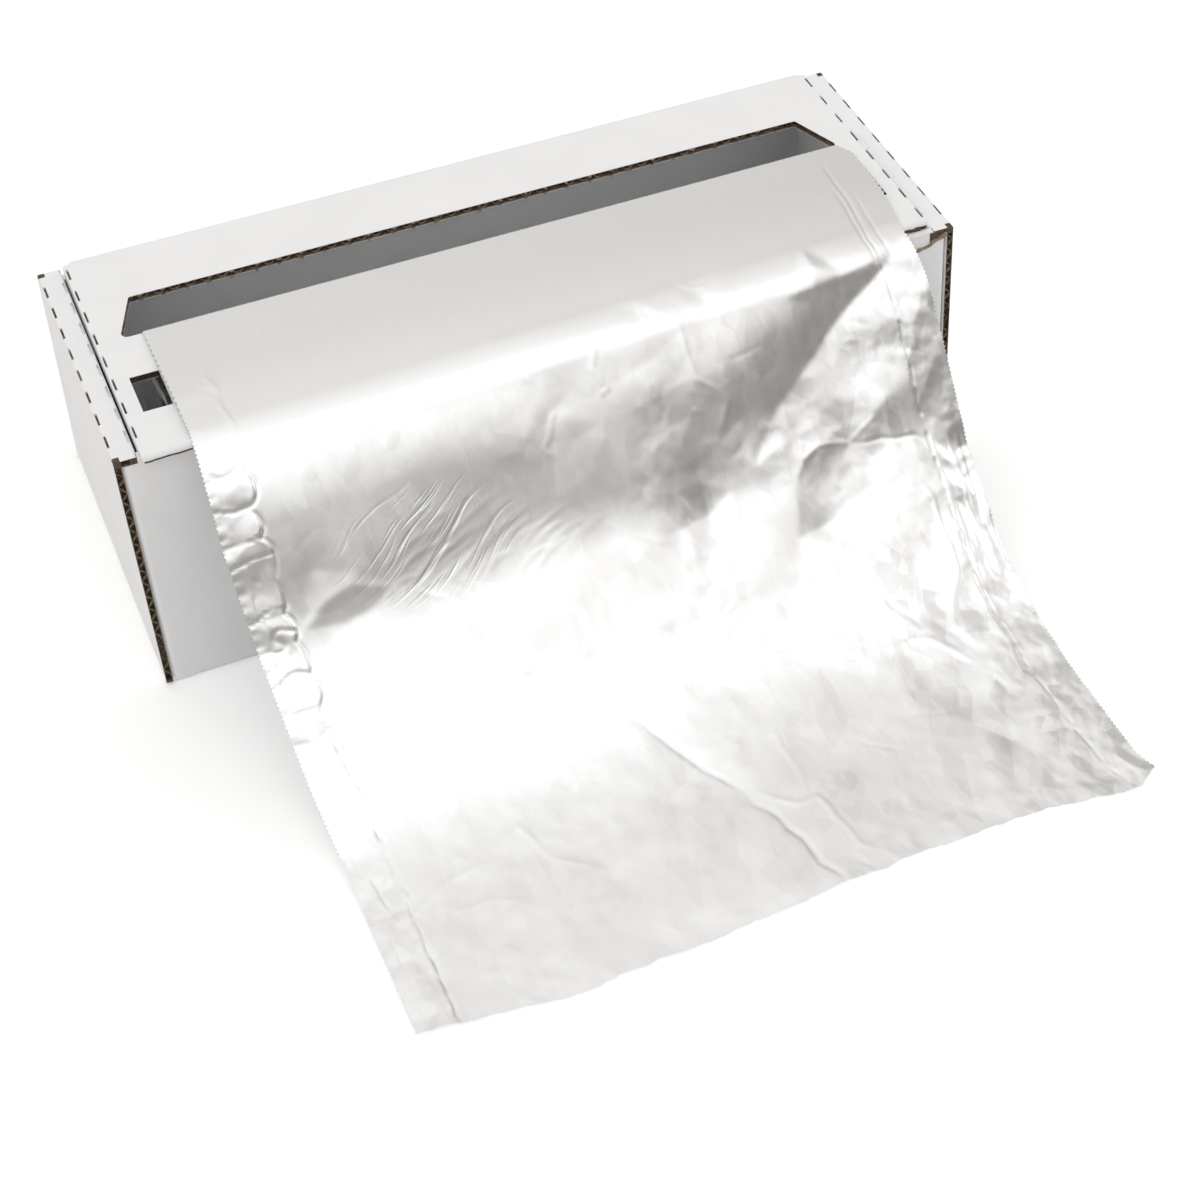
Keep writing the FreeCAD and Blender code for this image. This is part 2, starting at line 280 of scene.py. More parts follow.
def drape_corners(nose, top):
    """Corners of the drape's side view before they are rounded, from its crest over the lid to
    the table."""
    front = np.array([nose - front_room, top - front_drop])
    corners = [np.array([front[0] + crest_to_front, top + crest_rise]), front]
    for run, slope in zip(drape_runs, drape_slopes):
        corners.append(corners[-1] + run * np.array([-math.cos(slope), -math.sin(slope)]))
    y, z = corners[-1]
    corners.append(np.array([y - (z - foil_lift) / math.tan(drape_slopes[-1]), foil_lift]))
    return corners


def sheet_base():
    """The drawn-out foil before it is creased: points, outward normals, and each point's place
    on the flat sheet, with 0 at the lid's front edge and growing down the drape."""
    points = np.zeros((sheet_rows, sheet_columns, 3))
    normals = np.zeros_like(points)
    flat = np.zeros((sheet_rows, sheet_columns, 2))
    top = lid_top + foil_lift
    to_bend = (slot_y + foil_lift, top - roll_z)
    leave = math.atan2(to_bend[1], to_bend[0]) - math.acos(roll_radius / math.hypot(*to_bend))
    off_roll = (roll_radius * math.cos(leave), roll_z + roll_radius * math.sin(leave))
    for c, x in enumerate(across_sheet):
        share = (x - foil_left) / (foil_right - foil_left)
        drape = drape_corners(nose_y(x), top)
        seen_x = left_edge[-1][1] + share * (right_edge[-1][1] - left_edge[-1][1])
        tear = interpolated(tear_edge, seen_x)
        place = np.array([seen_x])
        tear += (0.7 * line_noise(place, 9, 3) + 0.4 * line_noise(place, 3, 4)
                 + 0.3 * line_noise(place, 1.4, 5))[0]
        corners = [off_roll, (slot_y + foil_lift, top)] + drape + [(tear, foil_lift)]
        pieces, ends = bent_path(corners, [slot_bend_radius] + drape_radii)
        front_at = (ends[4] + ends[5]) / 2
        slot_at = (ends[0] + ends[1]) / 2
        at = spaced([0, slot_at - slot_rows, slot_at + slot_rows, front_at + fine_rows[0],
                     front_at + fine_rows[1], ends[-1]], row_counts)
        path, ways = along_path(pieces, ends, at)
        left = interpolated(left_edge, path[:, 0])
        right = interpolated(right_edge, path[:, 0])
        points[:, c] = np.stack([left + share * (right - left), path[:, 0], path[:, 1]], 1)
        normals[:, c] = np.stack([0 * at, ways[:, 1], -ways[:, 0]], 1)
        flat[:, c] = np.stack([0 * at + x, at - front_at], 1)
    return points, normals, flat


def line_distance(x, s, path):
    """Distance to a line of points on the sheet, and how far along it (0 to 1)."""
    best = np.full(x.shape, 1e9)
    along = np.zeros(x.shape)
    path = np.array(path, float)
    runs = np.linalg.norm(np.diff(path, axis=0), axis=1)
    total = runs.sum()
    done = 0.0
    for a, b, run in zip(path, path[1:], runs):
        way = (b - a) / run
        t = np.clip((x - a[0]) * way[0] + (s - a[1]) * way[1], 0, run)
        dx, ds = x - a[0] - t * way[0], s - a[1] - t * way[1]
        distance = np.hypot(dx, ds)
        nearer = distance < best
        best = np.where(nearer, distance, best)
        along = np.where(nearer, (done + t) / total, along)
        done += run
    return best, along


def add_crease(height, flat, path, lift, reach, taper=0.2):
    """Adds a sharp narrow crease along a line: a ridge, or a valley where lift is negative."""
    path = np.array(path, float)
    x, s = flat[..., 0], flat[..., 1]
    low, high = path.min(0) - reach, path.max(0) + reach
    near = (x > low[0]) & (x < high[0]) & (s > low[1]) & (s < high[1])
    if not near.any():
        return
    distance, along = line_distance(x[near], s[near], path)
    ends = smoothstep(0, taper, along) * smoothstep(0, taper, 1 - along)
    height[near] += lift * ends * ridge(distance, reach)


# Corners of the planes that the sheet is folded into: place on the flat sheet (x, s), and how
# far it stands out from the smooth drape
plane_corners = [
    # over the lid, where the sheet is smooth
    (-146, -16, 0), (-90, -14, 0), (-30, -14, 0), (20, -13, 0), (52, -12, 0), (80, -12, 0),
    (100, -13, 0), (126, -13, 0), (157, -16, 0),
    # the pinch in the front edge, and the dents left of it
    (112, -9, 0), (104, 3, 0), (111, 1, 0.9), (117, -1, 0), (109, 9, 0.1),
    (38, -8, 0), (37, -1, -0.5), (44, 3, 0.3), (35, 8, 0), (57, -8, 0), (63, -3, -0.4), (70, 0, 0.2),
    # the row below the front edge
    (-146, 12, 0), (-118, 14, 0.2), (-95, 12, 0), (-50, 13, 0), (-8, 10, 0.2), (16, 9, -0.2),
    (50, 6, 0.3), (74, 9, -0.2), (84, 12, 0), (96, 10, 0), (122, 8, 0), (135, 6, 0), (143, 3, 0),
    (157, -3, 0),
    # the fold that runs down to the left from the lid's right corner
    (150, 3, -0.2), (141, 9.5, -1.0), (130, 15, -1.8), (119, 21.5, -2.7), (109, 29, -3.3),
    (101, 36, -3.2), (93, 42, -2.8), (82, 50, -2.3), (74, 58, -1.7),
    (84, 27, -1.0), (74, 40, -1.0), (96, 20, -1.1), (106, 16, -1.2),
    # the dents to its left
    (49, 20, 0.1), (50, 30, 0.4), (60, 42, 0.0), (53, 56, -0.3), (66, 27, -0.3), (66, 12, -0.3),
    (60, 20, -0.4), (66, 50, -0.7), (41, 30, -0.3), (40, 44, -0.3), (41, 54, -0.1),
    # the planes to its right
    (144, 34, 1.3), (133, 30, -0.4), (157, 30, 1.0), (124, 44, -0.2), (112, 47, -1.6),
    (97, 55, -2.0), (139, 56, 2.3), (128, 59, 2.2), (157, 60, 2.0), (119, 65, 1.0), (106, 66, -0.5),
    (93, 62, -0.7), (114, 56, -0.3),
    # the star of creases
    (107, 73, -0.6), (118, 69, 0.9), (126, 76, 0.8), (134, 79, 1.3), (140, 83, 1.3), (85, 73, 0.3),
    (94, 70, 0.4), (79, 82, -0.1), (99, 80, -0.6), (88, 86, -0.9), (112, 82, -0.4), (73, 103, -1.0),
    (85, 102, -1.8), (93, 99, -1.8), (98, 90, -1.3), (108, 93, -1.3), (118, 87, 0.2), (157, 92, 0.8),
    # the lower border of the steep part
    (65, 70, 0.0), (76, 66, -0.3), (52, 76, -0.8), (41, 83, -2.2), (41, 69, -0.9), (32, 70, 0.2),
    (27, 85, -0.2), (18, 70, 1.3), (17, 58, 1.3), (29, 58, 0.7), (40, 58, -0.2), (5, 70, 0.9),
    (12, 85, 0.8),
    # the middle and the left
    (16, 34, 0.4), (-2, 38, 0.8), (16, 46, 0.9), (-8, 24, -0.1), (-14, 34, 0.1), (-26, 36, 0.4),
    (-16, 52, 0.5), (-30, 47, -0.1), (-44, 48, -0.3), (-14, 66, 0.9), (-40, 66, 0.1),
    (-60, 36, 0.1), (-85, 34, 0.4), (-78, 50, 0.6), (-60, 56, 0.4), (-103, 44, 0.7),
    (-118, 40, 0.9), (-100, 60, 0.9), (-117, 55, 0.4), (-146, 60, 0.3), (-84, 60, 0.7),
    (-104, 65, 1.2), (-115, 68, 1.2), (-126, 76, 0.4), (-110, 78, 0.1), (-99, 76, -0.1),
    (-90, 70, 0.4), (-70, 72, 0.1),
    (-50, 78, 0.2), (-22, 78, 0.6),
    # the lower part, which lies on the table
    (-146, 100, 0), (-90, 104, 0), (-40, 104, 0), (10, 112, 0.2), (50, 112, 0), (100, 118, 0),
    (128, 100, 0.9), (140, 122, 0.8), (157, 124, 0.8), (-60, 150, 0), (0, 150, 0), (60, 150, 0),
    (-20, 145, 0.2), (-11, 161, -0.4), (3, 184, -0.5), (15, 209, -0.4), (20, 232, -0.3), (30, 262, 0),
    (10, 172, 0.5), (31, 174, 0.7), (28, 206, 0.1), (19, 192, 0.8), (38, 233, 0.2), (46, 200, -0.1),
    (72, 199, -0.5), (58, 186, 0.3), (104, 192, -0.4), (77, 184, 0.3), (88, 156, 0.5),
    (108, 158, 0.9), (122, 172, 0.6), (134, 194, 0.7), (133, 136, 1.1), (122, 153, 0.2),
    (157, 150, 0.3), (157, 200, 0.5), (157, 262, 0), (100, 240, 0), (70, 262, 0),
    (-123, 143, 0.4), (-104, 158, 0.7), (-90, 170, 0), (-114, 186, 0.9), (-131, 196, 0.2),
    (-94, 181, 0.5), (-72, 191, -0.2), (-79, 173, 0.4), (-101, 202, 0), (-54, 207, -0.2),
    (-97, 226, 0.4), (-122, 240, 0), (-60, 240, 0.3), (-20, 220, 0.2), (-30, 186, 0.4),
    (-146, 180, 0), (-146, 262, 0), (-80, 262, 0), (-20, 262, 0),
]
# Lines along which the planes meet sharply; elsewhere they run softly into each other
sharp_folds = [
    [(150, 3), (141, 9.5), (130, 15), (119, 21.5), (109, 29), (101, 36), (93, 42), (82, 50)],
    [(144, 3), (122, 8), (104, 8)], [(104, 3), (111, 1), (117, -1)], [(109, 9), (111, 1), (112, -9)],
    [(49, 20), (50, 30), (60, 42), (53, 56)], [(37, -1), (44, 3)], [(57, -8), (63, -3), (70, 0)],
    [(107, 73), (118, 69), (121, 65)], [(79, 82), (85, 73), (94, 70), (107, 73), (126, 76), (134, 79)],
    [(93, 62), (107, 73), (112, 82)], [(73, 103), (79, 82), (88, 86), (98, 90)],
    [(85, 102), (93, 99), (98, 90), (108, 93), (118, 87)],
    [(-26, 36), (-14, 34), (-8, 24)], [(-126, 76), (-110, 78), (-99, 76), (-90, 70)],
    [(-117, 55), (-115, 68), (-104, 65), (-99, 76)], [(76, 66), (65, 70), (52, 76), (41, 83), (27, 85)],
    [(-20, 145), (-11, 161), (3, 184), (15, 209), (20, 232)], [(108, 158), (122, 172), (134, 194)],
    [(88, 156), (108, 158)], [(133, 136), (122, 153)], [(-114, 186), (-94, 181), (-79, 173)],
]


def softened(height, rounds):
    """A grid of heights with its sharp corners rounded off a little."""
    for _ in range(rounds):
        padded = np.pad(height, 1, mode="edge")
        height = (padded[:-2, 1:-1] + padded[2:, 1:-1] + 4 * height
                  + padded[1:-1, :-2] + padded[1:-1, 2:]) / 8
    return height


def folded_planes(flat):
    """Height of the planes between the corners above, which meet in creases."""
    corners = np.array(plane_corners, float)
    spots = [Vector(spot) for spot in corners[:, :2].tolist()]
    triangles = delaunay_2d_cdt(spots, [], [], 0, 1e-4)
    places = np.array([tuple(spot) for spot in triangles[0]])
    lifts = np.array([corners[which[0], 2] for which in triangles[3]])
    x, s = flat[..., 0], flat[..., 1]
    height = np.zeros(x.shape)
    for face in triangles[2]:
        (ax, ay), (bx, by), (cx, cy) = places[list(face)]
        whole = (bx - ax) * (cy - ay) - (cx - ax) * (by - ay)
        wb = ((x - ax) * (cy - ay) - (cx - ax) * (s - ay)) / whole
        wc = ((bx - ax) * (s - ay) - (x - ax) * (by - ay)) / whole
        inside = (wb >= 0) & (wc >= 0) & (wb + wc <= 1)
        a, b, c = lifts[list(face)]
        height[inside] = (a + wb * (b - a) + wc * (c - a))[inside]
    crisp = softened(height, 2)
    soft = softened(height, 120)
    near_fold = np.zeros(x.shape)
    for path in sharp_folds:
        distance = line_distance(x, s, path)[0]
        near_fold = np.maximum(near_fold, smoothstep(13, 2, distance))
    return soft + (crisp - soft) * near_fold


# Sharp narrow creases that stand out: line on the flat sheet, lift and reach
sharp_creases = [
    ([(57, -9), (63, -5), (69, -3)], 0.25, 1.6),
    ([(39, -8), (37, -2), (38, 3), (35, 6)], 0.3, 1.5),
    ([(50, 3), (49, 11), (49, 20), (50, 30), (56, 35), (61, 42), (57, 49), (53, 56)], 0.35, 2.2),
    ([(20, 4), (13, 7), (10, 14), (14, 23), (8, 26)], 0.35, 2.0),
    ([(-8, 24), (-11, 28), (-17, 38), (-14, 44)], 0.35, 2.0),
    ([(107, 73), (117, 67), (121, 65)], 0.4, 1.8),
    ([(107, 73), (99, 71), (93, 70), (85, 74), (79, 82)], 0.35, 1.8),
    ([(107, 73), (120, 75), (134, 78), (139, 82)], -0.4, 2.0),
    ([(107, 73), (112, 82), (118, 87)], 0.3, 1.8),
    ([(91, 58), (95, 60), (100, 67), (107, 73)], -0.35, 2.0),
    ([(-20, 145), (-11, 161), (-2, 178), (3, 184), (8, 192), (9, 200), (15, 209), (16, 216),
      (19, 222), (20, 235), (23, 242), (26, 256)], -0.85, 2.3),
    ([(19, 175), (31, 174), (32, 194), (28, 206)], 0.25, 2.2),
    ([(8, 192), (24, 207), (33, 207), (37, 233), (44, 240)], 0.55, 2.2),
    ([(58, 187), (72, 199), (69, 207)], -0.3, 2.0),
    ([(77, 184), (104, 192), (112, 178)], -0.25, 2.2),
    ([(-131, 196), (-114, 186), (-98, 183), (-94, 180)], 0.5, 2.2),
    ([(-95, 181), (-79, 173), (-72, 191), (-54, 207)], 0.4, 2.0),
    ([(-122, 200), (-101, 198), (-85, 205)], 0.25, 2.0),
    ([(-139, 170), (-137, 182), (-135, 194)], -0.7, 1.6),
    ([(88, 155), (108, 158), (118, 170), (128, 187), (134, 195)], 0.4, 2.4),
    ([(98, 135), (106, 148), (109, 155)], -0.4, 2.2),
    ([(112, 168), (124, 178), (130, 200)], -0.3, 2.2),
    ([(131, 92), (133, 111), (133, 135), (127, 145), (122, 153), (120, 168)], 0.5, 2.4),
    ([(-131, -50), (-129.5, -43), (-132, -35), (-129, -27), (-131, -18), (-129, -8),
      (-130, 2)], 0.5, 2.2),
    ([(-137, -48), (-128, -46), (-119, -49)], 0.35, 2.0),
    ([(-139, -30), (-133, -27), (-128, -20)], -0.35, 2.0),
]

# Torn front corner at the right, as x and z on the front wall: the hole under the end's strip,
# which is drawn as a flat patch of painted shade, and the torn edge of the board below it
corner_hole = [(164.2, 109.3), (172.3, 109.3), (172.3, 106.8), (168.6, 105.8), (166.2, 104.8),
               (164.2, 103.8)]
corner_tear = [(155.5, 102.4), (158.5, 102.9), (161.5, 103.1), (164.0, 104.0), (166.2, 105.4),
               (168.6, 106.0), (171.6, 107.2)]


def wandering(start, angle, length, bend):
    """A slightly bent line from a place on the sheet."""
    way = np.array([math.cos(angle), math.sin(angle)])
    side = np.array([-way[1], way[0]])
    start = np.array(start, float)
    share = np.linspace(0, 1, 5)[:, None]
    return start + way * length * share + side * bend * 4 * share * (1 - share)


def kinked(path):
    """A path with small corners added along its long stretches."""
    points = [path[0]]
    for a, b in zip(path, path[1:]):
        length = math.dist(a, b)
        steps = max(1, round(length / 7))
        for k in range(1, steps):
            points.append([a[i] + (b[i] - a[i]) * k / steps + rng.uniform(-1.1, 1.1) for i in (0, 1)])
        points.append(b)
    return points


def crease_lines(height, flat):
    """Separate creases: those that stand out in this sheet, and small ones scattered over it."""
    for path, lift, reach in sharp_creases:
        add_crease(height, flat, kinked(path), 0.45 * lift, max(1.3, 0.65 * reach))
    # Fine wrinkles that fan out up to the right across the steep part
    for k in range(fan_creases):
        share = k / (fan_creases - 1)
        start = (-100 + 72 * share + rng.uniform(-9, 9), 74 + 8 * share + rng.uniform(-9, 5))
        length = rng.uniform(14, 58) * (1 - 0.35 * share)
        path = wandering(start, -0.5 + rng.uniform(-0.1, 0.12), length, rng.uniform(-4, -1))
        add_crease(height, flat, path, rng.uniform(0.03, 0.08), 1.3, 0.35)
    for _ in range(loose_creases):
        x = rng.uniform(foil_left + 20, foil_right - 18)
        s = rng.uniform(8, 250)
        calm = x < 20 and s < 100
        if calm and rng.random() < 0.6:
            continue
        angle = rng.uniform(0, math.pi)
        path = wandering((x, s), angle, rng.uniform(5, 22), rng.normal(0, 1.2))
        add_crease(height, flat, path, rng.choice([-1, 1]) * rng.uniform(0.03, 0.09), 1.6, 0.4)


def left_band(height, flat):
    """Band along the left edge: small flat planes between cross creases, and a thin scalloped
    crease as its border."""
    x, s = flat[..., 0], flat[..., 1]
    from_left = x - foil_left
    at = (s + 5.5 * line_noise(s, 15, 42)) / 13.0
    lobe = np.abs(np.sin(math.pi * at))
    border = 14.6 + 2.8 * lobe ** 0.6 + 1.4 * line_noise(s, 7, 43)
    strength = smoothstep(2, 20, s) * (0.4 + 0.6 * smoothstep(108, 88, s))
    within = smoothstep(0, 1.2, border - from_left)
    rim = ridge(from_left - border, 1.1) * (0.4 + 0.6 * lobe)
    lip = ridge(from_left - border + 1.6, 1.6) * (0.3 + 0.7 * lobe)
    slanted = at + 0.02 * from_left + 0.3 * soft_noise(from_left, s, 9, 49)
    cross = ridge(np.sin(math.pi * slanted), 0.22)
    inner_at = 5.3 + 0.8 * line_noise(s, 9, 45)
    inner = ridge(from_left - inner_at, 0.9)
    inner *= smoothstep(-0.35, 0.1, line_noise(s, 13, 46))
    pleats = np.clip(1 - from_left / 4, 0, 1) * np.abs(np.sin(math.pi * s / 5.3)) ** 4
    planes = 0.45 * facets(x, s, 11.5, 0.5, 47) + 0.09 * facets(x, s, 4.6, 1.1, 48)
    height += strength * within * (planes + 0.2 * lobe - 0.3 * cross + 0.15 * lip)
    height -= strength * (0.34 * rim + 0.22 * inner + 0.16 * pleats)
    # On the table: a stitched-looking crease along the edge, with little planes outside it
    low = smoothstep(104, 124, s)
    hem_at = 15.5 + 1.3 * line_noise(s, 26, 71) + 0.5 * line_noise(s, 3.4, 72)
    hem = ridge(from_left - hem_at, 1.2)
    height -= 0.30 * low * hem * smoothstep(-0.5, 0.2, line_noise(s, 4.5, 73))
    outside = smoothstep(19, 13, from_left)
    height += low * outside * (0.32 * facets(x, s, 9, 1.0, 74) + 0.12 * facets(x, s, 4.4, 0.8, 75))


def right_band(height, flat):
    """Border along the right edge: parallel lines, a stitched-looking crease, and crumples."""
    x, s = flat[..., 0], flat[..., 1]
    from_right = foil_right - x
    lines = ((15.5, -58, 16, 0.16), (18.5, -40, 14, 0.13), (12.0, -34, 8, 0.10))
    for place, first, last, depth in lines:
        at = place + 1.2 * line_noise(s, 19, int(50 + place))
        line = ridge(from_right - at, 0.9)
        height -= depth * line * smoothstep(first, first + 12, s) * smoothstep(last, last - 6, s)
    hem_at = 16.8 + 0.9 * line_noise(s, 24, 53) - 2.5 * smoothstep(150, 240, s)
    hem_at += 0.35 * line_noise(s, 3.1, 58)
    dash = smoothstep(-0.5, 0.2, line_noise(s, 2.6, 54))
    hem = ridge(from_right - hem_at, 1.0)
    height -= 0.28 * hem * dash * smoothstep(8, 16, s)
    beyond = smoothstep(hem_at + 1, hem_at - 3, from_right) * smoothstep(4, 24, s)
    crushed = smoothstep(78, 90, s) * smoothstep(150, 125, s)
    height += beyond * (0.30 + 0.25 * crushed) * facets(x, s, 9.5, 2.2, 33)
    height += beyond * (0.12 + 0.08 * crushed) * facets(x, s, 4.4, 0.9, 34)
    streaks = facets(2.8 * x, 0.13 * s, 9.0, 0.02, 55)
    height += beyond * crushed * 0.95 * streaks
    # The crushed part leans outward
    height -= crushed * 1.7 * smoothstep(19, 0, from_right)
    # Little wrinkles that the hem gathers on both of its sides
    near_hem = smoothstep(26, 17, from_right) * smoothstep(14, 30, s)
    height += 0.10 * near_hem * facets(x, s, 5.2, 1.7, 57)
    lower = smoothstep(60, 20, from_right) * smoothstep(105, 135, s)
    height += lower * (0.75 * facets(x, s, 17, 0.9, 59) + 0.42 * facets(x, s, 8, 2.0, 60)
                       + 0.13 * facets(x, s, 4, 1.2, 61))


def crease_height(flat):
    """How far each point of the sheet stands out from its smooth form."""
    x, s = flat[..., 0], flat[..., 1]
    height = folded_planes(flat)
    on_lid = smoothstep(2, -14, s)
    off_lid = 1 - on_lid
    from_left = x - foil_left
    # Soft waves, and crumpled planes that grow towards the right and the table
    height += off_lid * (0.5 * soft_noise(x, s, 70, 11) + 0.25 * soft_noise(x, s, 31, 12))
    height += 0.10 * on_lid * (1 + soft_noise(x, s, 45, 14))
    crumple = 0.3 + 0.7 * np.maximum(smoothstep(100, 170, from_left), smoothstep(120, 190, s))
    crumple = crumple * smoothstep(4, 18, s)
    height += crumple * softened(0.34 * facets(x, s, 30, 0.4, 31), 2)
    height += crumple * softened(0.22 * facets(x, s, 15, 1.3, 32), 1)
    patchy = smoothstep(-0.3, 0.4, soft_noise(x, s, 34, 37))
    height += crumple * patchy * (0.16 * facets(x, s, 7.5, 2.6, 36) + 0.05 * facets(x, s, 4, 0.3, 38))
    corner = smoothstep(30, 10, from_left) * smoothstep(-45, -30, s) * smoothstep(4, -8, s)
    height += 0.2 * corner * (1 + facets(x, s, 9, 0.2, 35))
    left_band(height, flat)
    right_band(height, flat)
    return height


def drawn_foil(material):
    """The foil drawn out of the slot, over the front and down to the table."""
    points, normals, flat = sheet_base()
    height = crease_height(flat)
    crease_lines(height, flat)
    in_slot = smoothstep(-62, -72, flat[..., 1])
    height *= 1 - in_slot
    points += normals * height[..., None]
    over_lid = (points[..., 1] > nose_y(points[..., 0]) + 1) & (points[..., 1] < slot_y)
    points[..., 2] = np.where(over_lid, np.maximum(points[..., 2], lid_top + lowest_foil),
                              points[..., 2])
    points[..., 2] = np.maximum(points[..., 2], np.where(over_lid, 0, lowest_foil))
    teeth = edge_tooth * (np.arange(sheet_rows) % 2 * 2 - 1)
    points[:, 0, 0] += teeth
    points[:, -1, 0] += teeth
    piece = make_object("drawn_foil", points.reshape(-1, 3), grid_faces(sheet_rows, sheet_columns),
                        material)
    lay_flat(piece, flat)
    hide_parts("foil_roll")


def wound_foil(material):
    """The turns left on the core, whose ends show their edges as fine rings."""
    around = 128
    core_radius = core_high[1] + 0.1
    radii = np.linspace(core_radius, roll_radius, 26)
    rims = []
    for side in (-1, 1):
        end = foil_left if side < 0 else foil_right
        steps = 0.25 * rng.random(len(radii)) * side
        order = range(len(radii)) if side < 0 else range(len(radii) - 1, -1, -1)
        rims += [(end - steps[k], radii[k]) for k in order]
        if side < 0:
            rims += [(x, roll_radius) for x in np.linspace(foil_left + 2, foil_right - 2, 60)]
    rims.append((foil_left, core_radius))
    rims = np.array(rims)
    angle = np.linspace(0, 2 * math.pi, around, endpoint=False)
    x = np.repeat(rims[:, 0][:, None], around, 1)
    radius = np.repeat(rims[:, 1][:, None], around, 1)
    waves = 0.12 * soft_noise(x, np.cos(angle)[None, :] * 40 + np.sin(angle)[None, :] * 13, 20, 51)
    radius = radius + np.where(radius > roll_radius - 0.01, waves - 0.12, 0)
    points = np.stack([x, radius * np.cos(angle), roll_z + radius * np.sin(angle)], 2)
    faces = grid_faces(len(rims), around, closed=True)
    piece = make_object("wound_foil", points.reshape(-1, 3), faces, material)
    unrolled = np.broadcast_to(angle * roll_radius, x.shape)
    lay_flat(piece, np.stack([x, unrolled], 2))
    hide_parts("foil_roll")
    return piece


def corrugated(name, start, along, across, out, length, gap, depth, material, seed):
    """The fluted paper between the liners along a raw edge: it starts at a point, runs along
    the edge, waves across the gap between the liners, and reaches out to a ragged end."""
    start, along, across, out = (np.array(v, float) for v in (start, along, across, out))
    steps = max(8, int(length / flute_pitch * 14))
    t = np.linspace(0, length, steps)
    wave = np.sin(2 * math.pi * t / flute_pitch + seed)
    wave = np.clip(1.25 * wave, -1, 1) * (gap / 2 - 0.14)
    ragged = depth * (0.86 + 0.14 * line_noise(t, 2.3, seed))
    ragged -= 0.5 * depth * (line_noise(t, 9, seed + 1) > 0.62)
    rows = []
    for share in (0.02, 0.5, 0.85, 1.0):
        reach = depth * 0.02 + (ragged - depth * 0.02) * share
        curl = 0.12 * share ** 3 * line_noise(t, 1.7, seed + 2)
        rows.append(start + t[:, None] * along + (wave + curl)[:, None] * across
                    + reach[:, None] * out)
    points = np.concatenate(rows)
    piece = make_object(name, points, grid_faces(len(rows), steps), material)
    thicken(piece, 0.24, offset=0)
    return piece


def raw_edges(material):
    """Fluted paper in the hollow raw edges of the slot and of the carton's two ends."""
    gap = board - 2 * liner
    z = lid_under + board / 2
    back = slot_y + slot_depth + flute_recess
    corrugated("flutes_slot_rear", (-slot_rear_half - 1, back, z), (1, 0, 0), (0, 0, 1), (0, -1, 0),
               2 * slot_rear_half + 2, gap, flute_recess, material, 61)
    slant = np.array([slot_rear_half - slot_front_half, slot_depth, 0])
    length = np.linalg.norm(slant)
    slant = slant / length
    outward = np.array([slant[1], -slant[0], 0])
    for side, name in ((-1, "left"), (1, "right")):
        way = slant * (side, 1, 1)
        out = outward * (side, 1, 1)
        begin = np.array([side * slot_front_half, slot_y, z]) + way * 2 + out * flute_recess
        corrugated("flutes_slot_" + name, begin, way, (0, 0, 1), -out, length - 3, gap,
                   flute_recess, material, 63 + side)
    lean = math.atan2(wall_flare, end_height)
    low = 4.0
    length = (end_height - board - low - 1) / math.cos(lean)
    for side, name in ((-1, "left"), (1, "right")):
        for face, place in ((-1, "front"), (1, "rear")):
            x = side * (half_length - board / 2)
            y = face * (half_top + wall_flare * (1 - low / end_height) - flute_recess)
            up = (0, -face * math.sin(lean), math.cos(lean))
            corrugated(f"flutes_{name}_{place}", (x, y, low), up, (1, 0, 0), (0, face, 0),
                       length, gap, flute_recess, material, 67 + 2 * side + face)
            inner = min(side * (strip_inside + board + 0.2), side * (half_length - board - 0.2))
            corrugated(f"flutes_strip_{name}_{place}",
                       (inner, face * (half_top - flute_recess), end_height - board / 2),
                       (1, 0, 0), (0, 0, 1), (0, face, 0), board, gap, flute_recess, material,
                       73 + 2 * side + face)


def torn_tufts(material):
    """Torn ends of the little bridges that held the slot's cut-out, along its rear edge."""
    points, faces = [], []
    edge = slot_y + slot_depth
    for x in np.arange(-slot_rear_half + 4, slot_rear_half - 2, 9.6):
        x = x + rng.uniform(-1, 1)
        for z in (lid_top - 0.12, lid_under + 0.3):
            width = rng.uniform(1.2, 3.2)
            reach = rng.uniform(0.5, 1.5)
            n = 7
            first = len(points)
            for k in range(n):
                share = k / (n - 1)
                tip = reach * math.sin(math.pi * share) ** 0.6 * rng.uniform(0.55, 1.1)
                points.append((x + (share - 0.5) * width, edge + 0.5, z))
                points.append((x + (share - 0.5) * width * 0.9, edge - tip,
                               z + rng.uniform(-0.5, 0.15) * tip))
            for k in range(n - 1):
                a = first + 2 * k
                faces.append([a, a + 1, a + 3, a + 2])
    piece = make_object("torn_bridges", points, faces, material)
    thicken(piece, 0.2)


def slit_shade(material):
    """Painted shade in the slits that make the creases fold: flat dark patches just under the surface,
    coloured as cut board lying in shade.
    """
    points, faces = [], []
    rows = [(half_length - 0.9, end_height, 13.5), (lid_half - 0.9, lid_top, 14.3)]
    for x, z, pitch in rows:
        for side in (-1, 1):
            for k in range(8):
                y = (k - 3.5) * pitch
                first = len(points)
                half = rng.uniform(0.24, 0.42)
                near, far = y - rng.uniform(2.4, 3.4), y + rng.uniform(2.4, 3.4)
                for dx, dy in ((-half, near), (half, near + 0.3), (half, far), (-half, far - 0.3)):
                    points.append((side * x + dx, dy, z - 0.3))
                faces.append([first, first + 1, first + 2, first + 3])
    piece = make_object("slit_shade", points, faces, material, smooth=False)


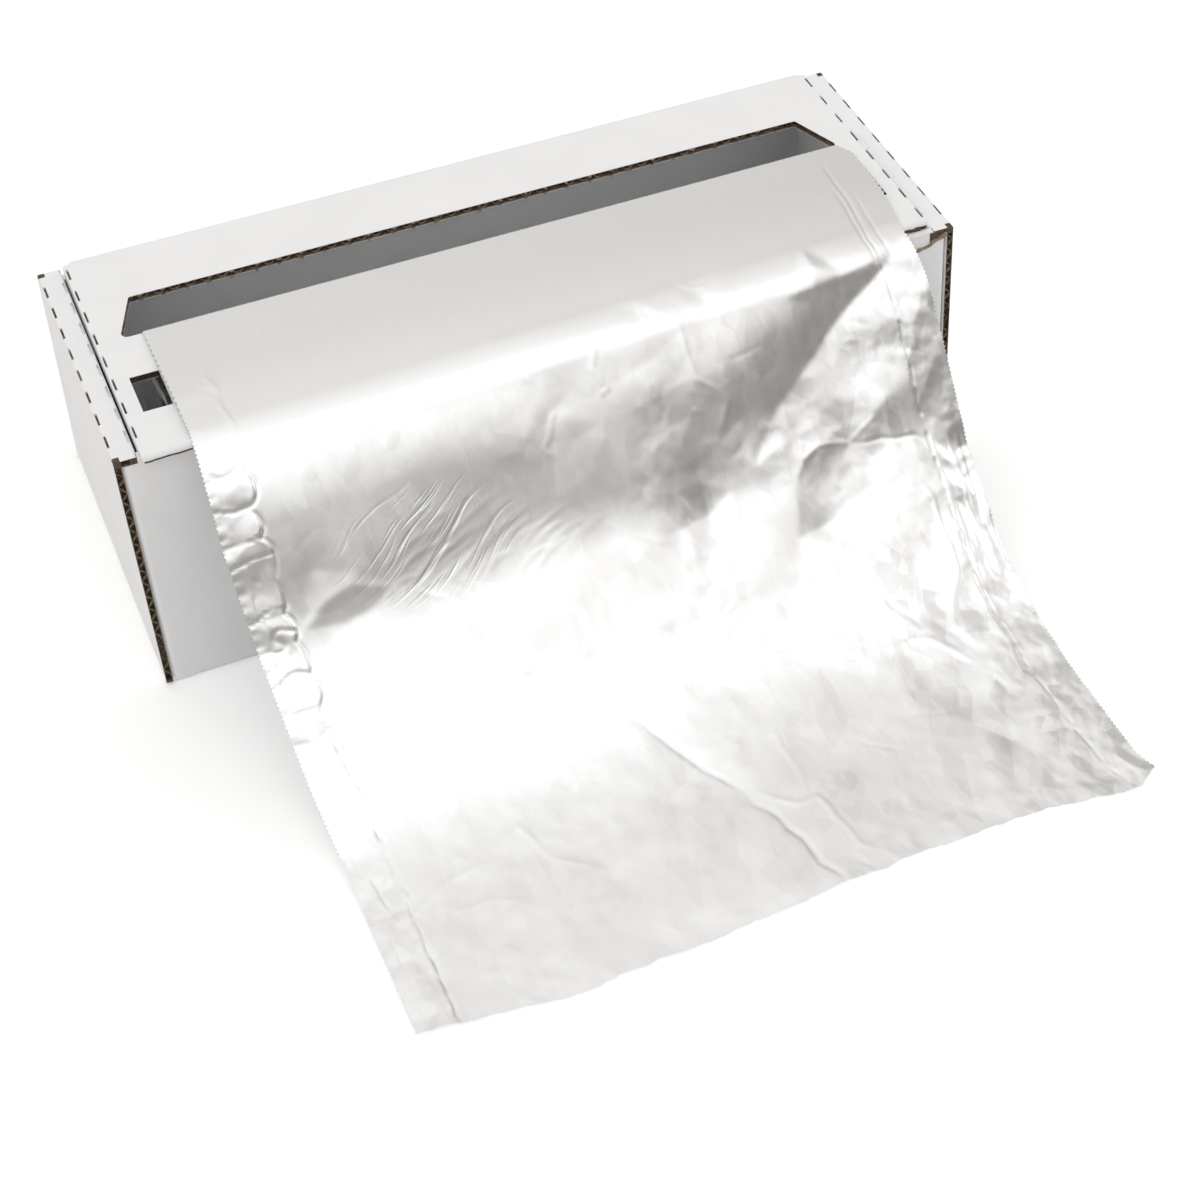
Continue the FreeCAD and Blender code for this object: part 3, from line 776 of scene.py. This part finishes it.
def shaded_front_seam(material):
    """Raw edge of the front wall, a thin ragged line under the lid, coloured dark: partly the board's
    own brown edge, partly painted shade under the lid.
    """
    for name, first, last, thick in (("left", -lid_half + 0.5, foil_left + 4, 0.5),
                                     ("right", foil_right - 6, lid_half - 0.5, 1.1)):
        x = np.linspace(first, last, 60)
        y = np.array([nose_y(v) for v in x])
        wave = line_noise(x, 2.1, 81)
        z = lid_top - 2.6 - 0.15 * line_noise(x, 6, 82)
        upper = np.stack([x, y - 0.10, z + thick * (0.75 + 0.35 * wave)], 1)
        middle = np.stack([x, y - 0.28, z], 1)
        lower = np.stack([x, y - 0.10, z - thick * (0.75 - 0.35 * wave)], 1)
        points = np.concatenate([upper, middle, lower])
        piece = make_object("shaded_front_seam_" + name, points, grid_faces(3, 60), material)


def front_wall_y(z):
    """Outer face of the front wall at a height."""
    return -(half_top + wall_flare * (1 - z / end_height))


def torn_corner(hole_shade, paper):
    """Right front corner, where the board is torn open under the end's strip. The hole is painted shade:
    a flat dark patch on the wall.
    """
    hole = [(x, front_wall_y(z) - 0.08, z) for x, z in corner_hole]
    piece = make_object("torn_corner_hole_shade", hole, [list(range(len(hole)))], hole_shade, smooth=False)
    thicken(piece, 0.1)
    x = np.linspace(corner_tear[0][0], corner_tear[-1][0], 70)
    z = interpolated(corner_tear, x)
    wave = line_noise(x, 1.7, 85)
    out = 0.9 + 0.4 * line_noise(x, 2.6, 86)
    rows = []
    for up, share in ((0.75, 0.1), (0.3, 1.0), (-0.3, 0.8), (-0.7, 0.1)):
        high = z + up * (1 + 0.5 * wave)
        rows.append(np.stack([x, front_wall_y(high) - out * share, high], 1))
    piece = make_object("torn_corner_edge", np.concatenate(rows), grid_faces(4, 70), paper)


def lid_fringe(material):
    """Torn liner along the lid's right edge, in scallops between the slits."""
    y = np.linspace(-52, 12, 150)
    scallop = np.abs(np.sin(math.pi * (y + 1.5) / 14.3)) ** 0.5
    out = 0.35 + 1.0 * scallop + 0.25 * line_noise(y, 1.6, 84)
    out *= smoothstep(14, 2, y) * smoothstep(-55, -48, y)
    inner = np.stack([0 * y + lid_half - 0.4, y, 0 * y + lid_top - 0.02], 1)
    outer = np.stack([lid_half + out, y, lid_top - 0.15 - 0.35 * out], 1)
    piece = make_object("lid_fringe", np.concatenate([inner, outer]), grid_faces(2, len(y)), material)
    thicken(piece, liner)


class Tree:
    """Short forms for building nodes."""

    def __init__(self, tree):
        self.tree = tree

    def add(self, kind, inputs, **settings):
        """A node with its settings and its inputs, which are sockets or values."""
        node = self.tree.nodes.new("ShaderNode" + kind)
        for key, value in settings.items():
            setattr(node, key, value)
        for key, value in inputs.items():
            if isinstance(value, bpy.types.NodeSocket):
                self.tree.links.new(value, node.inputs[key])
            else:
                node.inputs[key].default_value = value
        return node

    def math(self, operation, a, b=0.0):
        return self.add("Math", {0: a, 1: b}, operation=operation).outputs[0]

    def times(self, first, *others):
        """The product of the values."""
        for other in others:
            first = self.math("MULTIPLY", first, other)
        return first

    def highest(self, first, *others):
        """The highest of the values."""
        for other in others:
            first = self.math("MAXIMUM", first, other)
        return first

    def ramp(self, value, low, high, to_low=0.0, to_high=1.0):
        """A value remapped from one range to another, and kept within it."""
        inputs = {"Value": value, "From Min": low, "From Max": high, "To Min": to_low,
                  "To Max": to_high}
        return self.add("MapRange", inputs).outputs["Result"]

    def mix(self, share, a, b, blend="MIX"):
        """A mix of two colours."""
        a, b = (c if isinstance(c, bpy.types.NodeSocket) else (*c, 1) for c in (a, b))
        node = self.add("Mix", {}, data_type="RGBA", blend_type=blend)
        for key, value in ((0, share), (6, a), (7, b)):
            if isinstance(value, bpy.types.NodeSocket):
                self.tree.links.new(value, node.inputs[key])
            else:
                node.inputs[key].default_value = value
        return node.outputs[2]


class Nodes(Tree):
    """Short forms for building a material's nodes."""

    def __init__(self, name, colour, metallic, roughness):
        self.material = bpy.data.materials.new(name)
        self.material.use_nodes = True
        super().__init__(self.material.node_tree)
        self.shader = self.tree.nodes["Principled BSDF"]
        self.shader.inputs["Base Color"].default_value = (*colour, 1)
        self.shader.inputs["Metallic"].default_value = metallic
        self.shader.inputs["Roughness"].default_value = roughness
        self.place = self.add("TexCoord", {}).outputs["Object"]

    def noise(self, scale, detail=3.0, place=None):
        """Noise whose bumps are about scale millimetres apart."""
        inputs = {"Vector": place or self.place, "Scale": 1 / (scale * MM), "Detail": detail}
        return self.add("TexNoise", inputs).outputs["Fac"]

    def vector(self, operation, a, b):
        return self.add("VectorMath", {0: a, 1: b}, operation=operation).outputs["Vector"]

    def mapped(self, place, scale=(1, 1, 1), turn=0.0, shift=(0, 0, 0)):
        """A place that is scaled, turned in its plane and moved."""
        inputs = {"Vector": place, "Location": shift, "Rotation": (0, 0, turn), "Scale": scale}
        return self.add("Mapping", inputs).outputs["Vector"]

    def bump(self, height, distance, strength=1.0, normal=None):
        inputs = {"Height": height, "Distance": distance * MM, "Strength": strength}
        if normal is not None:
            inputs["Normal"] = normal
        return self.add("Bump", inputs).outputs["Normal"]

    def set(self, socket, value):
        self.tree.links.new(value, self.shader.inputs[socket])


def wrinkle_lines(m, place, angle, spacing, length, low, high):
    """Thin ridges that run at an angle on the flat sheet, as a height from 0 to 1."""
    drawn = m.mapped(m.mapped(place, turn=angle), (spacing / length, 1, 1))
    return m.ramp(m.noise(spacing, 2, place=drawn), low, high)


def patch(m, place, centre, size):
    """1 in the middle of an oval place on the flat sheet, and 0 outside it."""
    shift = tuple(-c / r for c, r in zip(centre, size)) + (0,)
    scale = tuple(1 / (r * MM) for r in size) + (1,)
    near = m.mapped(place, scale, shift=shift)
    far = m.add("VectorMath", {0: near}, operation="LENGTH").outputs["Value"]
    return m.ramp(far, 1.0, 0.55)


def tilted_planes(m, place, normal, size, tilt, share):
    """Small flat planes with straight sharp borders, each of which leans its own way."""
    cells = m.add("TexVoronoi", {"Vector": place, "Scale": 1 / (size * MM)}).outputs["Color"]
    lean = m.vector("SUBTRACT", cells, (0.5, 0.5, 0.5))
    amount = m.times(share, tilt)
    lean = m.add("VectorMath", {0: lean, "Scale": amount}, operation="SCALE").outputs["Vector"]
    return m.vector("ADD", normal, lean)


def crumpled(m, flat, bend):
    """The foil's normal, with planes that lean most at the right edge and on the table. The
    places on the flat sheet are in metres here."""
    parts = m.add("SeparateXYZ", {"Vector": flat}).outputs
    x, s = parts[0], parts[1]
    to_right = m.times(m.ramp(x, 0.02, 0.13), m.ramp(s, 0.105, 0.13, 0.35, 1.0))
    down = m.ramp(s, 0.09, 0.17, 0.0, 0.45)
    at_left = m.times(m.ramp(x, -0.115, -0.132), m.ramp(s, 0.10, 0.13, 0.0, 0.8))
    share = m.ramp(m.highest(to_right, down, at_left), 0.0, 1.0, 0.2, 1.0)
    share = m.times(share, m.ramp(s, -0.01, 0.012, 0.1, 1.0))
    shift = m.add("CombineXYZ", {"X": m.times(bend, 0.004), "Y": m.times(bend, -0.003)})
    bent = m.vector("ADD", flat, shift.outputs["Vector"])
    normal = m.add("NewGeometry", {}).outputs["Normal"]
    for size, tilt, turn in ((13, 0.085, 1.9), (5, 0.08, 0.2)):
        normal = tilted_planes(m, m.mapped(bent, (1, 0.62, 1), turn), normal, size, tilt, share)
    return m.add("VectorMath", {0: normal}, operation="NORMALIZE").outputs["Vector"]


def foil_material():
    """Rolled foil: bright metal with faint streaks along its length and a satin sheen."""
    m = Nodes("foil", (0.925, 0.924, 0.922), 1.0, 0.26)
    flat = m.add("UVMap", {}, uv_map="flat").outputs["UV"]
    drawn = m.mapped(flat, (1, 0.03, 1))
    streaks = m.ramp(m.noise(1.3, 2, place=drawn), 0.2, 0.8)
    m.set("Roughness", m.ramp(m.noise(6, 2, place=drawn), 0.2, 0.8, 0.24, 0.29))
    m.set("Base Color", m.mix(streaks, (0.912, 0.911, 0.909), (0.932, 0.93, 0.928)))
    # A fan of fine wrinkles low on the left
    bend = m.add("CombineXYZ", {"Y": m.times(m.noise(60, 1, place=flat), 0.03)})
    bent = m.vector("ADD", flat, bend.outputs["Vector"])
    fan = wrinkle_lines(m, bent, 0.56, 2.6, 34, 0.52, 0.68)
    fan = m.times(fan, patch(m, flat, (-72, 58), (40, 25)))
    m.set("Normal", m.bump(fan, 0.10, 1.0, crumpled(m, flat, m.noise(25, 2, place=flat))))
    return m.material


def white_board_material():
    """White-lined corrugated board: the liners white, the raw edges brown, with painted shade in the
    hollow between the liners and inside the carton beside the roll's left end.
    """
    m = Nodes("white_board", (0.83, 0.83, 0.84), 0.0, 0.62)
    parts = m.add("SeparateXYZ", {"Vector": m.place})
    x, y, z = (parts.outputs[k] for k in range(3))
    size_x = m.math("ABSOLUTE", x)
    size_y = m.math("ABSOLUTE", y)

    def above(value, low):
        return m.math("GREATER_THAN", value, low * MM)

    def below(value, high):
        return m.math("LESS_THAN", value, high * MM)

    def between(value, low, high):
        return m.times(above(value, low), below(value, high))

    fibres = m.noise(1.2, 4)
    grain = m.ramp(fibres, 0.3, 0.7)
    white = m.mix(m.ramp(m.noise(22, 3), 0.3, 0.7), (0.90, 0.90, 0.905), (0.93, 0.93, 0.935))
    brown = m.mix(grain, (0.07, 0.05, 0.035), (0.26, 0.185, 0.12))
    # Painted shade colour for the hollow between the liners
    dark = m.mix(grain, (0.035, 0.025, 0.018), (0.12, 0.085, 0.055))
    in_lid = m.times(between(z, lid_under + 0.15, lid_top - 0.15),
                     between(x, -lid_half + 1.6, lid_half - 1.6),
                     between(y, -half_top + 8, half_top - 6))
    wall = m.math("ADD", size_y, m.times(z, wall_flare / end_height))
    past_wall = above(wall, half_top + wall_flare - flute_recess - 0.3)
    in_end = m.times(past_wall, between(size_x, half_length - board + 0.1, half_length - 0.12))
    in_strip = m.times(between(z, end_height - board + 0.1, end_height - 0.12),
                       between(size_x, strip_inside + 0.3, half_length - 0.12),
                       above(size_y, half_top - flute_recess - 0.3))
    raw = m.highest(in_lid, in_end, in_strip)
    # Painted shade: the hollow between the liners is coloured darkest, as shade in that recess
    inside = m.highest(
        m.times(past_wall, between(size_x, half_length - board + liner, half_length - liner)),
        m.times(in_strip, between(z, end_height - board + liner, end_height - liner)),
        m.times(in_lid, between(z, lid_under + liner + 0.1, lid_top - liner - 0.1)))
    # Painted shade: the board's colour is darkened in the room beside the roll's left end, where little
    # light gets in
    painted_shade = m.times(between(x, -168, -144), between(z, 3, end_height - board - 0.5), below(y, 8),
                    below(size_y, half_top - board))
    white = m.mix(painted_shade, white, (0.16, 0.16, 0.17))
    m.set("Base Color", m.mix(inside, m.mix(raw, white, brown), dark))
    m.set("Normal", m.bump(fibres, 0.03, 0.5))
    return m.material


def paper_material(m, fibres, low, dark, pale, distance, strength):
    """Paper whose fibres run from a dark colour to a pale one."""
    m.set("Base Color", m.mix(m.ramp(fibres, low, 0.7), dark, pale))
    m.set("Normal", m.bump(fibres, distance, strength))
    return m.material


def kraft_material():
    """Brown paper of the flutes and torn fibres."""
    m = Nodes("kraft", (0.45, 0.31, 0.19), 0.0, 0.85)
    return paper_material(m, m.noise(0.8, 4), 0.3, (0.13, 0.09, 0.06), (0.46, 0.35, 0.24), 0.06, 0.8)


def gap_shade_material():
    """Painted shade for narrow gaps and holes: cut corrugated board coloured dark as if in shade, with a
    little brown of its own.
    """
    m = Nodes("gap_shade", (0.08, 0.06, 0.045), 0.0, 0.9)
    return paper_material(m, m.noise(1.4, 3), 0.35, (0.03, 0.025, 0.02), (0.16, 0.115, 0.075), 0.08,
                          0.8)


def core_material():
    """Paperboard tube, wound in a spiral."""
    m = Nodes("core_board", (0.47, 0.34, 0.22), 0.0, 0.8)
    return paper_material(m, m.noise(1.0, 4), 0.3, (0.40, 0.28, 0.17), (0.53, 0.39, 0.26), 0.05, 0.6)


def floor_material():
    """Pale floor. Where it is looked at, or mirrored, its own faint light makes it plain white
    outside the shadow; it puts no light on the object."""
    m = Nodes("floor", (0.93, 0.93, 0.93), 0.0, 0.9)
    m.shader.inputs["Emission Color"].default_value = (1, 1, 1, 1)
    ray = m.add("LightPath", {}).outputs
    seen = m.highest(ray["Is Camera Ray"], ray["Is Glossy Ray"], ray["Is Transmission Ray"])
    m.set("Emission Strength", m.times(seen, 0.24))
    return m.material


def build_floor():
    size = 6000.0
    mesh = bpy.data.meshes.new("floor")
    corners = [(-size, -size, 0), (size, -size, 0), (size, size, 0), (-size, size, 0)]
    mesh.from_pydata((np.array(corners) * MM).tolist(), [], [(0, 1, 2, 3)])
    mesh.materials.append(floor_material())
    floor = bpy.data.objects.new("floor", mesh)
    bpy.context.scene.collection.objects.link(floor)


def light_ramp(w, value, span, bands):
    """Strength of light by a number that runs from -span to span."""
    ramp = w.add("ValToRGB", {"Fac": w.ramp(value, -span, span)})
    stops = ramp.color_ramp.elements
    while len(stops) < len(bands):
        stops.new(0.5)
    for stop, (way, light) in zip(stops, bands):
        stop.position = (way / span + 1) / 2
        warm = dark_warmth * (1 - min(light, 1))
        level = light / brightest
        stop.color = (level * (1 + warm), level, level * (1 - 1.3 * warm), 1)
    return ramp.outputs["Color"]


brightest = 1.5
light_level = 1.07
# How much redder than grey the darkest walls are
dark_warmth = 0.06
# Light by the angle from straight up, in degrees, from the front (negative) to the rear
angle_bands = [(-78, 0.26), (-62, 0.36), (-48, 1.06), (-40, 1.28), (-20, 1.32), (-8, 1.16),
               (-1, 1.01), (9, 0.96), (33, 0.84), (50, 0.70), (75, 0.67)]
# Light by the part of the direction that runs along the carton, from left to right
side_bands = [(-0.95, 0.62), (-0.35, 1.0), (0.15, 1.0), (0.40, 0.90), (0.62, 0.48), (0.75, 0.9),
              (0.95, 1.3)]


def build_world():
    """Studio light: a long soft box overhead, with paler and darker walls round it."""
    world = bpy.data.worlds.new("studio")
    world.use_nodes = True
    bpy.context.scene.world = world
    w = Tree(world.node_tree)
    way = w.add("TexCoord", {}).outputs["Generated"]
    parts = w.add("SeparateXYZ", {"Vector": way}).outputs
    degrees = w.math("DEGREES", w.math("ARCTAN2", parts["Y"], parts["Z"]))
    light = w.mix(1.0, light_ramp(w, degrees, 90, angle_bands),
                  light_ramp(w, parts["X"], 1, side_bands), "MULTIPLY")
    background = w.tree.nodes["Background"]
    w.tree.links.new(light, background.inputs["Color"])
    background.inputs["Strength"].default_value = light_level * brightest ** 2
    # Past the floor's edge the camera sees plain white
    plain = w.add("Background", {"Color": (1, 1, 1, 1)}).outputs[0]
    seen = w.add("LightPath", {}).outputs["Is Camera Ray"]
    both = w.add("MixShader", {0: seen, 1: background.outputs[0], 2: plain}).outputs[0]
    w.tree.links.new(both, w.tree.nodes["World Output"].inputs["Surface"])


def build_camera():
    """The photo's camera, fitted to the carton's corners. Its place is in metres."""
    place = Vector((-0.24065, -0.69189, 0.68587))
    right = Vector((0.921207, -0.38890187, -0.01153203))
    up = Vector((0.29153644, 0.67033902, 0.68238706))
    forward = Vector((0.25765124, 0.63198174, -0.73090007))
    data = bpy.data.cameras.new("camera")
    data.lens = 68.54
    data.sensor_width = 36.0
    camera = bpy.data.objects.new("camera", data)
    camera.matrix_world = Matrix.Translation(place) @ Matrix((right, up, -forward)).transposed().to_4x4()
    bpy.context.scene.collection.objects.link(camera)
    bpy.context.scene.camera = camera


def main():
    scene = bpy.context.scene
    scene.view_settings.view_transform = "Standard"
    build_camera()
    build_world()
    build_floor()
    foil = foil_material()
    board_finish = white_board_material()
    core_finish = core_material()
    for name, material in (("carton", board_finish), ("core_tube", core_finish)):
        mesh = nodes[name].data
        mesh.materials.clear()
        mesh.materials.append(material)
    drawn_foil(foil)
    wound_foil(foil)
    kraft = kraft_material()
    raw_edges(kraft)
    torn_tufts(kraft)
    # Painted shade: dark pieces in the slits, under the lid's front edge and in the torn corner's hole
    gap_shade = gap_shade_material()
    slit_shade(gap_shade)
    shaded_front_seam(gap_shade)
    torn_corner(gap_shade, kraft)
    lid_fringe(board_finish)


main()
